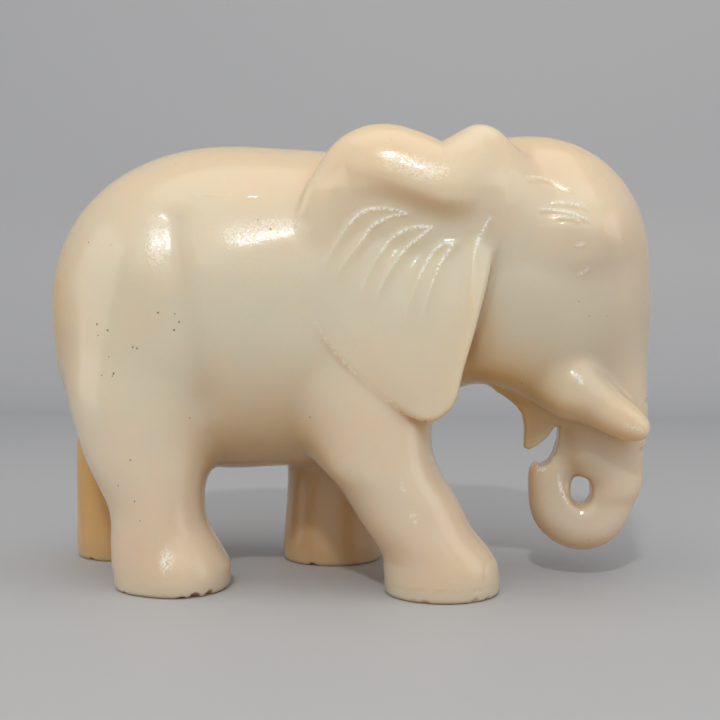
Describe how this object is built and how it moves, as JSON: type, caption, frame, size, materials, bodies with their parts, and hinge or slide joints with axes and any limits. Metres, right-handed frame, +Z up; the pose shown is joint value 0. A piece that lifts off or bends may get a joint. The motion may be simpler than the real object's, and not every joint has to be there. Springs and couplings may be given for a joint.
{
  "type": "jade elephant sculpture",
  "caption": "Carved pale jade elephant walking on its own feet, trunk curled back to its mouth, ears folded flat on the shoulders.",
  "frame": {"origin": "centre of the bounding box's underside, on the plane of the four soles", "axes": "+X towards the trunk, +Y towards the animal's left side, +Z up"},
  "size_m": [0.2028, 0.0866, 0.1476],
  "materials": {
    "jade": "polished pale cream jade, warmer and browner in its thin and low parts, with a few dark specks"
  },
  "bodies": {
    "root": {"elephant": "jade"}
  },
  "joints": []
}
